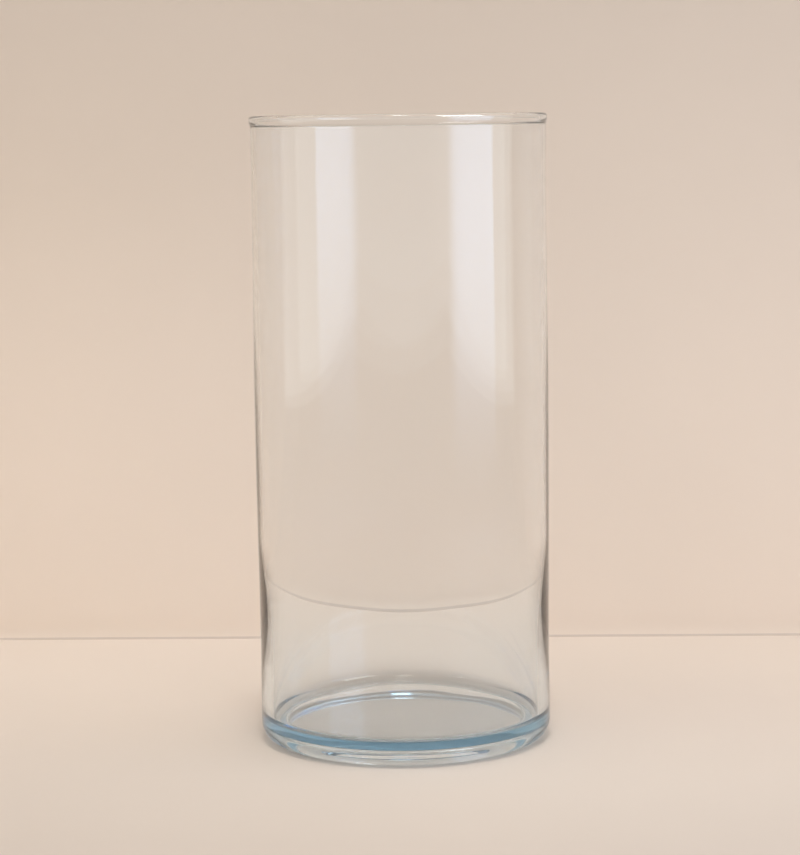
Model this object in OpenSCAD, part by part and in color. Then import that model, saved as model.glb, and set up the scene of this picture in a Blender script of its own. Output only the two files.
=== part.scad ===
// A straight-sided glass cylinder vase: one piece of clear glass.
// Millimetres, +Z up. The origin is the middle of the face that the vase stands on.

/* [Body] */
// Height from the standing face to the top of the rim
vase_h = 231; // [180:1:300]
// Outside diameter of the straight wall
body_d = 108; // [90:1:150]
// Wall thickness over the upper part
upper_wall_t = 1.5; // [1.2:0.1:2.5]
// Wall thickness beside the base
lower_wall_t = 4.2; // [3:0.1:6]
// Height where the wall starts to get thinner
taper_low_z = 26; // [22:1:35]
// Height where the wall has come down to its upper thickness
taper_high_z = 76; // [60:1:110]

/* [Rim] */
// Height of the fire-rounded bead at the rim
bead_h = 4; // [3:0.1:6]
// How far the bead stands outside the wall
bead_out = 0.5; // [0.2:0.1:0.8]
// How far the bead stands inside the wall
bead_in = 0.5; // [0.2:0.1:0.8]

/* [Base] */
// Radius of the outside corner between wall and base
heel_r = 6.5; // [4:0.5:9]
// Height of the inside floor
floor_z = 8.7; // [7.6:0.1:12]
// Radius of the inside corner between floor and wall
fillet_r = 2.6; // [2:0.1:6]
// Width of the flat ring that the vase stands on
bearing_w = 2.4; // [2:0.1:8]
// Depth of the hollow under the base
recess_depth = 5.2; // [2.6:0.1:5.8]
// Radius of the rounded corner between the side and the ceiling of that hollow
recess_edge_r = 1.2; // [0.6:0.1:1.5]

/* [Hidden] */

$fn = 144;

body_r = body_d / 2;
mouth_r = body_r - upper_wall_t;
lower_inner_r = body_r - lower_wall_t;
fillet_x = lower_inner_r - fillet_r;

// The lip is a half round as thick as the whole bead
lip_r = (upper_wall_t + bead_out + bead_in) / 2;
lip_x = body_r + bead_out - lip_r;
lip_z = vase_h - lip_r;
// The narrowest of the mouth is a short straight land below the lip
throat_r = mouth_r - bead_in;
land_h = (bead_h - lip_r) / 2;

recess_r = body_r - heel_r - bearing_w;
ceiling_r = recess_r - recess_edge_r;
recess_side_h = recess_depth - recess_edge_r;

taper_steps = 20;

// Goes smoothly from 0 to 1 as u goes from 0 to 1, level at both ends
function ease(u) = (1 - cos(180 * u)) / 2;
function between(low, high, share) = low + (high - low) * share;

// The inside of the wall, from thick beside the base to thin above
taper_points = [
    for (i = [0 : taper_steps])
        [
            between(lower_inner_r, mouth_r, ease(i / taper_steps)),
            between(taper_low_z, taper_high_z, i / taper_steps)
        ]
];

// One side of the bead, a stretched arc: how far out from the lip's middle and how far down it is,
// from the wall up to the bead's thickest line
bead_steps = 12;
function bead_side(bulge, drop) =
    let (sweep = acos((lip_r - bulge) / lip_r))
        [
            for (i = [bead_steps : -1 : 0])
                let (turn = sweep * i / bead_steps)
                    [lip_r * cos(turn), drop * sin(turn) / sin(sweep)]
        ];

outer_bead_points = [for (p = bead_side(bead_out, bead_h - lip_r)) [lip_x + p.x, lip_z - p.y]];
inner_bead_points = [
    for (p = bead_side(bead_in, bead_h - lip_r - land_h))
        [lip_x - p.x, lip_z - land_h - p.y]
];

// Half section of the outside, up to the start of the lip
module outside_section() {
    translate([body_r - heel_r, heel_r])
        circle(heel_r);
    square([body_r - heel_r, heel_r]);
    polygon(concat(
        [[0, lip_z], [0, heel_r], [body_r, heel_r]],
        outer_bead_points
    ));
}

// Half section of the space inside, open at the top
module inside_section() {
    difference() {
        polygon(concat(
            [[0, vase_h], [0, floor_z], [lower_inner_r, floor_z]],
            taper_points,
            inner_bead_points,
            [[throat_r, vase_h]]
        ));
        difference() {
            translate([fillet_x, floor_z])
                square(fillet_r);
            translate([fillet_x, floor_z + fillet_r])
                circle(fillet_r);
        }
    }
}

// Half section of the hollow under the base: an upright side, a rounded corner, a level ceiling
module recess_section() {
    square([recess_r, recess_side_h]);
    square([ceiling_r, recess_depth]);
    translate([ceiling_r, recess_side_h])
        circle(recess_edge_r);
}

module vase_section() {
    difference() {
        outside_section();
        inside_section();
        recess_section();
    }
    translate([lip_x, lip_z])
        intersection() {
            circle(lip_r);
            translate([-lip_r, 0])
                square([2 * lip_r, lip_r]);
        }
}

module vase() {
    color("lightcyan", 0.4)
        rotate_extrude()
            vase_section();
}

vase();
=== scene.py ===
"""Clear glass cylinder vase: looks, stage, light and camera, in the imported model's own frame (metres)."""
import math

import bpy
from mathutils import Matrix, Vector


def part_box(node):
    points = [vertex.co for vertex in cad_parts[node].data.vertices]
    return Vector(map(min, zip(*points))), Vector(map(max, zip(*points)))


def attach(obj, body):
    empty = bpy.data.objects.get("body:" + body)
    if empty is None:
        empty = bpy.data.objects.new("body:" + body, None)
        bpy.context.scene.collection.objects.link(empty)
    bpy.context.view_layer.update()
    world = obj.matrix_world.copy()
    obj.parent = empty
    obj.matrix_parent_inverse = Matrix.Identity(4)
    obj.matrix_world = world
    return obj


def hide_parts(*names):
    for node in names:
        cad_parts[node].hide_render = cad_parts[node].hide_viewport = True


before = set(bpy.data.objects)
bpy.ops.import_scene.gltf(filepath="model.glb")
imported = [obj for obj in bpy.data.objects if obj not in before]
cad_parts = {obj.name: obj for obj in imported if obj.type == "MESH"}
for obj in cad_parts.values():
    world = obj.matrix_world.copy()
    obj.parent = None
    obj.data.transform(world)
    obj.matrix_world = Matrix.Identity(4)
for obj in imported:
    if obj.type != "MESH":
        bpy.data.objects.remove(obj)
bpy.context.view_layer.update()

MM = 0.001
HIGH = Vector(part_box("vase")[1])

# ---------------------------------------------------------------- the vase's section
HEIGHT = HIGH.z
BEAD_OUT = 0.5 * MM       # the bead stands this far outside the wall
BEAD_IN = 0.5 * MM        # and this far inside it
BODY_R = HIGH.y - BEAD_OUT
UPPER_WALL = 1.5 * MM
LOWER_WALL = 4.2 * MM
TAPER_LOW = 26 * MM       # the wall thins between these two heights
TAPER_HIGH = 76 * MM
BEAD_H = 4 * MM
HEEL_R = 6.5 * MM
FLOOR_Z = 8.7 * MM
FILLET_R = 2.6 * MM
BEARING_W = 2.4 * MM
RECESS_DEPTH = 5.2 * MM
RECESS_EDGE_R = 1.2 * MM
RIDGES = 3                # fine rings on the face that it stands on
RIDGE_H = 0.12 * MM

MOUTH_R = BODY_R - UPPER_WALL
LOWER_INNER_R = BODY_R - LOWER_WALL
LIP_R = (UPPER_WALL + BEAD_OUT + BEAD_IN) / 2
LIP_X = BODY_R + BEAD_OUT - LIP_R
LIP_Z = HEIGHT - LIP_R
LAND_H = (BEAD_H - LIP_R) / 2  # the narrowest of the mouth, straight below the lip
RECESS_R = BODY_R - HEEL_R - BEARING_W
CEILING_R = RECESS_R - RECESS_EDGE_R

AROUND = 480              # vertices in one ring
BEAD_STEPS = 12
TAPER_STEPS = 24
RIDGE_STEPS = 8           # points across one fine ring
BESIDE = 0.06 * MM        # support points stand this close to the ends of straight stretches

# ---------------------------------------------------------------- its blown unevenness, in mm
SWELL = 0.30
SWELL_START = 0.28        # share of the height where the swell begins
LEAN = 0.05


def ease(u):
    """Goes smoothly from 0 to 1, level at both ends."""
    return (1 - math.cos(math.pi * u)) / 2


def arc(centre_r, centre_z, radius, start, end, steps):
    """Points of an arc in the half section, angles in degrees from the outward direction."""
    angles = [math.radians(start + (end - start) * i / steps) for i in range(steps + 1)]
    return [(centre_r + radius * math.cos(a), centre_z + radius * math.sin(a)) for a in angles]


def line(start, end, steps):
    """Points along a straight stretch, without its ends but with one close beside each of them."""
    beside = BESIDE / math.dist(start, end)
    shares = [beside] + [i / steps for i in range(1, steps)] + [1 - beside]
    return [
        (start[0] + (end[0] - start[0]) * share, start[1] + (end[1] - start[1]) * share)
        for share in shares
    ]


def underside():
    """From the middle of the ceiling out to the standing ring."""
    ceiling = line((0, RECESS_DEPTH), (CEILING_R, RECESS_DEPTH), steps=22)
    side_h = RECESS_DEPTH - RECESS_EDGE_R
    corner = arc(CEILING_R, side_h, RECESS_EDGE_R, 90, 0, steps=8)
    side = line((RECESS_R, side_h), (RECESS_R, 0), steps=5)
    ring_steps = RIDGES * RIDGE_STEPS
    ring = []
    for i in range(ring_steps):
        share = i / ring_steps
        groove = RIDGE_H * (1 - math.cos(2 * math.pi * RIDGES * share)) / 2
        ring.append((RECESS_R + BEARING_W * share, groove))
    return ceiling + corner + side + ring


def bead_side(bulge, drop):
    """One side of the bead from the wall up: how far out from the lip's middle, how far down."""
    sweep = math.acos((LIP_R - bulge) / LIP_R)
    turns = [sweep * (1 - i / BEAD_STEPS) for i in range(BEAD_STEPS + 1)]
    return [(LIP_R * math.cos(turn), drop * math.sin(turn) / math.sin(sweep)) for turn in turns]


def outside():
    """Heel, wall and bead, up to the widest line of the lip."""
    heel = arc(BODY_R - HEEL_R, HEEL_R, HEEL_R, -90, 0, steps=20)
    wall = line((BODY_R, HEEL_R), (BODY_R, HEIGHT - BEAD_H), steps=44)
    bead = [(LIP_X + across, LIP_Z - down) for across, down in bead_side(BEAD_OUT, BEAD_H - LIP_R)]
    return heel + wall + bead[:-1]


def inside():
    """Lip, wall, taper and fillet, down to the inside floor."""
    lip = arc(LIP_X, LIP_Z, LIP_R, 0, 180, steps=24)
    land_z = LIP_Z - LAND_H
    side = reversed(bead_side(BEAD_IN, BEAD_H - LIP_R - LAND_H))
    bead = [(LIP_X - across, land_z - down) for across, down in side]
    wall = line(bead[-1], (MOUTH_R, TAPER_HIGH), steps=30)
    thicker = LOWER_WALL - UPPER_WALL
    taper_h = TAPER_HIGH - TAPER_LOW
    taper = [
        (MOUTH_R - thicker * ease(i / TAPER_STEPS), TAPER_HIGH - taper_h * i / TAPER_STEPS)
        for i in range(TAPER_STEPS + 1)
    ]
    fillet_z = FLOOR_Z + FILLET_R
    low_wall = line((LOWER_INNER_R, TAPER_LOW), (LOWER_INNER_R, fillet_z), steps=5)
    floor_edge = LOWER_INNER_R - FILLET_R
    fillet = arc(floor_edge, fillet_z, FILLET_R, 0, -90, steps=16)
    floor = line((floor_edge, FLOOR_Z), (0, FLOOR_Z), steps=22)
    return lip + bead + wall + taper + low_wall + fillet + floor


def rises(z, low, high):
    """0 below low, 1 above high, smooth between."""
    return ease(min(1, max(0, (z - low) / (high - low))))


def wall_share(z):
    """How far a height is from both the base and the rim, 0 to 1."""
    return rises(z, 12 * MM, 40 * MM) * (1 - rises(z, HEIGHT - 25 * MM, HEIGHT - 6 * MM))


def inner_drift(angle, z):
    """Slow unevenness of the inside of a blown wall, in metres."""
    waves = (
        0.10 * math.cos(2 * angle) * math.cos(0.7 + 9 * z)
        + 0.07 * math.sin(3 * angle) * math.cos(1.1 + 14 * z)
        + 0.05 * math.sin(5 * angle) * math.cos(2.3 + 21 * z)
        + 0.025 * math.cos(8 * angle) * math.cos(0.4 + 30 * z)
    )
    return waves * MM * wall_share(z)


def outer_drift(angle, z):
    """Slow unevenness of the outside, fuller at mid height and slimmer near the base."""
    swell = SWELL * math.sin(2 * math.pi * (z / HEIGHT - SWELL_START))
    return (swell - LEAN * math.cos(angle)) * MM * wall_share(z)


def plate_drift(x, y):
    """Slow unevenness of the faces above and below the base plate, none at their edges."""
    waves = (
        0.030 * math.sin(150 * x + 60 * y + 0.8)
        + 0.022 * math.sin(90 * x - 170 * y - 1.9)
        + 0.014 * math.sin(300 * x + 40 * y + 0.4)
    )
    return waves * MM * rises(CEILING_R - math.hypot(x, y), 0, 12 * MM)


def make_vase():
    """One closed glass mesh: the section turned about the axis, with a blown wall's drift."""
    section = underside() + outside() + inside()
    first_inside = len(underside()) + len(outside())
    middle = plate_drift(0, 0)
    vertices = [(0, 0, RECESS_DEPTH + middle), (0, 0, FLOOR_Z + middle)]
    for k, (r, z) in enumerate(section):
        drift = inner_drift if k >= first_inside else outer_drift
        for j in range(AROUND):
            angle = 2 * math.pi * j / AROUND
            radius = r + drift(angle, z)
            x, y = radius * math.cos(angle), radius * math.sin(angle)
            on_plate = r < CEILING_R and z <= FLOOR_Z
            vertices.append((x, y, z + (plate_drift(x, y) if on_plate else 0)))
    faces = []

    def at(k, j):
        return 2 + k * AROUND + j % AROUND

    for j in range(AROUND):
        faces.append((0, at(0, j + 1), at(0, j)))
        faces.append((1, at(len(section) - 1, j), at(len(section) - 1, j + 1)))
        for k in range(len(section) - 1):
            faces.append((at(k, j), at(k, j + 1), at(k + 1, j + 1), at(k + 1, j)))
    mesh = bpy.data.meshes.new("glass_cylinder")
    mesh.from_pydata(vertices, [], faces)
    mesh.validate()
    for polygon in mesh.polygons:
        polygon.use_smooth = True
    vase = bpy.data.objects.new("glass_cylinder", mesh)
    bpy.context.collection.objects.link(vase)
    return vase


# ---------------------------------------------------------------- materials
def new_material(name):
    material = bpy.data.materials.new(name)
    material.use_nodes = True
    tree = material.node_tree
    tree.nodes.clear()
    return material, tree.nodes, tree.links


def glass_material():
    """Clear soda-lime glass, blue-green through its thickness, with faint blown-glass ripple."""
    material, nodes, links = new_material("soda_lime_glass")
    output = nodes.new("ShaderNodeOutputMaterial")
    glass = nodes.new("ShaderNodeBsdfPrincipled")
    glass.inputs["Transmission Weight"].default_value = 1.0
    glass.inputs["IOR"].default_value = 1.52
    glass.inputs["Base Color"].default_value = (1, 1, 1, 1)
    links.new(glass.outputs["BSDF"], output.inputs["Surface"])

    place = nodes.new("ShaderNodeTexCoord")
    streak_space = nodes.new("ShaderNodeMapping")
    streak_space.inputs["Scale"].default_value = (60, 60, 9)
    links.new(place.outputs["Object"], streak_space.inputs["Vector"])
    streaks = nodes.new("ShaderNodeTexNoise")
    streaks.inputs["Scale"].default_value = 1.0
    streaks.inputs["Detail"].default_value = 2.0
    links.new(streak_space.outputs["Vector"], streaks.inputs["Vector"])

    ripple = nodes.new("ShaderNodeBump")
    ripple.inputs["Strength"].default_value = 0.12
    ripple.inputs["Distance"].default_value = 0.02 * MM
    links.new(streaks.outputs["Fac"], ripple.inputs["Height"])
    links.new(ripple.outputs["Normal"], glass.inputs["Normal"])

    handling = nodes.new("ShaderNodeTexNoise")
    handling.inputs["Scale"].default_value = 45.0
    handling.inputs["Detail"].default_value = 4.0
    links.new(place.outputs["Object"], handling.inputs["Vector"])
    polish = nodes.new("ShaderNodeMapRange")
    polish.inputs["From Min"].default_value = 0.35
    polish.inputs["From Max"].default_value = 0.75
    polish.inputs["To Min"].default_value = 0.0
    polish.inputs["To Max"].default_value = 0.012
    links.new(handling.outputs["Fac"], polish.inputs["Value"])
    links.new(polish.outputs["Result"], glass.inputs["Roughness"])

    depth = nodes.new("ShaderNodeVolumeAbsorption")
    depth.inputs["Color"].default_value = (0.0, 0.50, 0.78, 1)
    depth.inputs["Density"].default_value = 14.0
    links.new(depth.outputs["Volume"], output.inputs["Volume"])
    return material


def plaster_material(name, colour, one_sided_with_painted_shade):
    """Pale matt plaster. The wall's is seen from its front only, and has painted shade: a little darker
    higher up.
    """
    material, nodes, links = new_material(name)
    output = nodes.new("ShaderNodeOutputMaterial")
    plaster = nodes.new("ShaderNodeBsdfPrincipled")
    plaster.inputs["Roughness"].default_value = 0.9
    plaster.inputs["Specular IOR Level"].default_value = 0.0
    place = nodes.new("ShaderNodeTexCoord")
    mottle = nodes.new("ShaderNodeTexNoise")
    mottle.inputs["Scale"].default_value = 7.0
    mottle.inputs["Detail"].default_value = 6.0
    links.new(place.outputs["Object"], mottle.inputs["Vector"])
    tone = nodes.new("ShaderNodeMix")
    tone.data_type = "RGBA"
    tone.inputs["A"].default_value = (*[c * (1 - MOTTLE) for c in colour], 1)
    tone.inputs["B"].default_value = (*[c * (1 + MOTTLE) for c in colour], 1)
    links.new(mottle.outputs["Fac"], tone.inputs["Factor"])
    if not one_sided_with_painted_shade:
        links.new(tone.outputs["Result"], plaster.inputs["Base Color"])
        links.new(plaster.outputs["BSDF"], output.inputs["Surface"])
        return material
    # painted shade: the colour is scaled from lighter low down to darker higher up, standing in for less
    # light
    split = nodes.new("ShaderNodeSeparateXYZ")
    links.new(place.outputs["Object"], split.inputs["Vector"])
    painted_shade = nodes.new("ShaderNodeMapRange")
    painted_shade.interpolation_type = "SMOOTHSTEP"
    painted_shade.inputs["From Min"].default_value = PAINTED_SHADE_LOW
    painted_shade.inputs["From Max"].default_value = PAINTED_SHADE_HIGH
    painted_shade.inputs["To Min"].default_value = PAINTED_SHADE_AT_LOW
    painted_shade.inputs["To Max"].default_value = PAINTED_SHADE_AT_HIGH
    links.new(split.outputs["Z"], painted_shade.inputs["Value"])
    tone_with_painted_shade = nodes.new("ShaderNodeVectorMath")
    tone_with_painted_shade.operation = "SCALE"
    links.new(tone.outputs["Result"], tone_with_painted_shade.inputs["Vector"])
    links.new(painted_shade.outputs["Result"], tone_with_painted_shade.inputs["Scale"])
    links.new(tone_with_painted_shade.outputs["Vector"], plaster.inputs["Base Color"])
    facing = nodes.new("ShaderNodeNewGeometry")
    clear = nodes.new("ShaderNodeBsdfTransparent")
    either = nodes.new("ShaderNodeMixShader")
    links.new(facing.outputs["Backfacing"], either.inputs["Fac"])
    links.new(plaster.outputs["BSDF"], either.inputs[1])
    links.new(clear.outputs["BSDF"], either.inputs[2])
    links.new(either.outputs["Shader"], output.inputs["Surface"])
    return material


# ---------------------------------------------------------------- stage, light, camera
WALL_BEHIND = 0.184       # from the vase's axis to the wall behind it
WALL_TURN = math.radians(-2.3)
WALL_HALF_W = 1.2
WALL_H = 1.3
FLOOR_REACH = 1.6         # how far the floor runs in front of the vase and behind it
GROOVE_W = 5 * MM         # the joint where floor and wall meet
GROOVE_DEPTH = 5 * MM
WALL_COLOUR = (0.80, 0.70, 0.615)
FLOOR_COLOUR = (0.82, 0.735, 0.665)
# painted shade: the wall's foot inside the groove is coloured darker to stand for the groove's shadow
JOINT_PAINTED_SHADE_COLOUR = (0.66, 0.575, 0.51)
MOTTLE = 0.035            # how far the plaster's tone varies either way
PAINTED_SHADE_LOW = 0.08          # painted shade: the wall's colour gets darker between these two heights
PAINTED_SHADE_HIGH = 0.34
PAINTED_SHADE_AT_LOW = 1.08
PAINTED_SHADE_AT_HIGH = 0.85

WINDOW_AZIMUTH = 54.8     # degrees to the camera's right, seen from the vase
WINDOW_DISTANCE = 0.60
WINDOW_SOFT_SIDE = 0.25   # shares of the window over which it fades
WINDOW_SOFT_FOOT = 0.55
POOL_PLACE = (0.08, -0.25, 1.9)
POOL_AIM = (0.03, 0.14, 0)
POOL_CONE = math.radians(12)
POOL_SOFTNESS = 0.35      # radius of the lamp

CAMERA_PLACE = (0, -0.9445, 0.2292)
LENS = 108.1
PITCH = math.radians(6.846)
ROLL = math.radians(0.8)
YAW = math.radians(-0.046)


def sheet(name, start, end, material):
    """A flat piece across the stage between two lines, each a distance behind the vase and a height."""
    turn = Matrix.Rotation(WALL_TURN, 3, "Z")
    (y0, z0), (y1, z1) = start, end
    corners = [
        (-WALL_HALF_W, y0, z0), (WALL_HALF_W, y0, z0),
        (WALL_HALF_W, y1, z1), (-WALL_HALF_W, y1, z1),
    ]
    mesh = bpy.data.meshes.new(name)
    mesh.from_pydata([tuple(turn @ Vector(corner)) for corner in corners], [], [(0, 1, 2, 3)])
    piece = bpy.data.objects.new(name, mesh)
    bpy.context.collection.objects.link(piece)
    piece.data.materials.append(material)


def make_stage():
    """A floor and a wall behind the vase, with a shallow joint between them."""
    floor_plaster = plaster_material("floor_plaster", FLOOR_COLOUR, False)
    sheet("floor", (-FLOOR_REACH, 0), (WALL_BEHIND - GROOVE_W, 0), floor_plaster)
    sheet("floor_behind", (WALL_BEHIND, 0), (FLOOR_REACH, 0), floor_plaster)
    groove_near, groove_far = WALL_BEHIND - 2 * GROOVE_W, WALL_BEHIND + GROOVE_W
    sheet("groove", (groove_near, -GROOVE_DEPTH), (groove_far, -GROOVE_DEPTH), floor_plaster)
    wall_plaster = plaster_material("wall_plaster", WALL_COLOUR, True)
    sheet("wall", (WALL_BEHIND, 0), (WALL_BEHIND, WALL_H), wall_plaster)
    # painted shade: this sheet at the back of the groove is coloured darker for the shadow there
    joint_painted_shade = plaster_material("joint_painted_shade", JOINT_PAINTED_SHADE_COLOUR, True)
    sheet("wall_foot", (WALL_BEHIND, -GROOVE_DEPTH), (WALL_BEHIND, 0), joint_painted_shade)


def area_lamp(name, azimuth, distance, height, aim_height, size, watts):
    """A rectangular lamp facing the vase's axis, which the camera sees only by way of the glass."""
    light = bpy.data.lights.new(name, "AREA")
    light.shape = "RECTANGLE"
    light.size, light.size_y = size
    light.energy = watts
    lamp = bpy.data.objects.new(name, light)
    lamp.visible_camera = False
    turn = math.radians(azimuth)
    lamp.location = (distance * math.sin(turn), -distance * math.cos(turn), height)
    aim = Vector((0, 0, aim_height)) - lamp.location
    lamp.rotation_euler = aim.to_track_quat("-Z", "Y").to_euler()
    bpy.context.collection.objects.link(lamp)
    return lamp


def window():
    """A broad cool light at one side, fading towards its foot and towards one of its sides."""
    lamp = area_lamp(
        "window", WINDOW_AZIMUTH, WINDOW_DISTANCE, height=0.17, aim_height=0.17, size=(0.44, 0.34), watts=1.0
    )
    light = lamp.data
    light.color = (0.50, 0.69, 1.0)
    light.use_nodes = True
    nodes, links = light.node_tree.nodes, light.node_tree.links
    place = nodes.new("ShaderNodeNewGeometry")
    split = nodes.new("ShaderNodeSeparateXYZ")
    links.new(place.outputs["Parametric"], split.inputs["Vector"])
    fades = []
    for axis, full in (("X", WINDOW_SOFT_SIDE), ("Y", WINDOW_SOFT_FOOT)):
        fade = nodes.new("ShaderNodeMapRange")
        fade.interpolation_type = "SMOOTHSTEP"
        fade.inputs["From Max"].default_value = full
        links.new(split.outputs[axis], fade.inputs["Value"])
        fades.append(fade)
    both = nodes.new("ShaderNodeMath")
    both.operation = "MULTIPLY"
    links.new(fades[0].outputs["Result"], both.inputs[0])
    links.new(fades[1].outputs["Result"], both.inputs[1])
    links.new(both.outputs["Value"], nodes["Emission"].inputs["Strength"])


def skylight():
    """The bright upper part of the same window. It doesn't light matt surfaces directly."""
    lamp = area_lamp(
        "skylight", WINDOW_AZIMUTH, WINDOW_DISTANCE, height=0.66, aim_height=LIP_Z, size=(0.40, 0.36), watts=9
    )
    lamp.visible_diffuse = False


def pool():
    """A broad soft lamp from above, brightest on the floor behind the vase."""
    light = bpy.data.lights.new("pool", "SPOT")
    light.energy = 205
    light.color = (1.0, 0.96, 0.90)
    light.spot_size = POOL_CONE
    light.spot_blend = 1.0
    light.shadow_soft_size = POOL_SOFTNESS
    lamp = bpy.data.objects.new("pool", light)
    lamp.location = POOL_PLACE
    aim = Vector(POOL_AIM) - lamp.location
    lamp.rotation_euler = aim.to_track_quat("-Z", "Y").to_euler()
    bpy.context.collection.objects.link(lamp)


def make_world(colour, level, front_level, top_level):
    """A soft dome of light, dimmer straight in front of the vase and overhead."""
    world = bpy.data.worlds.new("room")
    world.use_nodes = True
    nodes, links = world.node_tree.nodes, world.node_tree.links
    place = nodes.new("ShaderNodeTexCoord")
    split = nodes.new("ShaderNodeSeparateXYZ")
    links.new(place.outputs["Generated"], split.inputs["Vector"])

    def fade(axis, start, end, start_level, end_level):
        step = nodes.new("ShaderNodeMapRange")
        step.interpolation_type = "SMOOTHSTEP"
        step.inputs["From Min"].default_value = start
        step.inputs["From Max"].default_value = end
        step.inputs["To Min"].default_value = start_level
        step.inputs["To Max"].default_value = end_level
        links.new(split.outputs[axis], step.inputs["Value"])
        return step

    front = fade("Y", -0.95, -0.6, front_level, level)
    top = fade("Z", 0.2, 0.9, 1.0, top_level)
    both = nodes.new("ShaderNodeMath")
    both.operation = "MULTIPLY"
    links.new(front.outputs["Result"], both.inputs[0])
    links.new(top.outputs["Result"], both.inputs[1])
    background = nodes["Background"]
    background.inputs["Color"].default_value = (*colour, 1)
    links.new(both.outputs["Value"], background.inputs["Strength"])
    bpy.context.scene.world = world


def make_camera():
    data = bpy.data.cameras.new("camera")
    data.sensor_width = 36
    data.lens = LENS
    data.clip_start = 0.01
    camera = bpy.data.objects.new("camera", data)
    turn = (
        Matrix.Rotation(-YAW, 4, "Z")
        @ Matrix.Rotation(math.pi / 2 - PITCH, 4, "X")
        @ Matrix.Rotation(-ROLL, 4, "Z")
    )
    camera.matrix_world = Matrix.Translation(CAMERA_PLACE) @ turn
    bpy.context.collection.objects.link(camera)
    bpy.context.scene.camera = camera


def light_paths():
    """Glass needs many bounces, and its shadow needs the light that it passes on."""
    cycles = bpy.context.scene.cycles
    cycles.max_bounces = 32
    cycles.transmission_bounces = 32
    cycles.glossy_bounces = 16
    cycles.diffuse_bounces = 4
    cycles.transparent_max_bounces = 16
    cycles.sample_clamp_indirect = 6.0
    bpy.context.scene.view_settings.view_transform = "Standard"


vase = make_vase()
vase.data.materials.append(glass_material())
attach(vase, "root")
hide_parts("vase")

make_stage()
skylight()
window()
pool()
make_world(colour=(1.0, 0.955, 0.895), level=1.24, front_level=1.02, top_level=0.46)
make_camera()
light_paths()
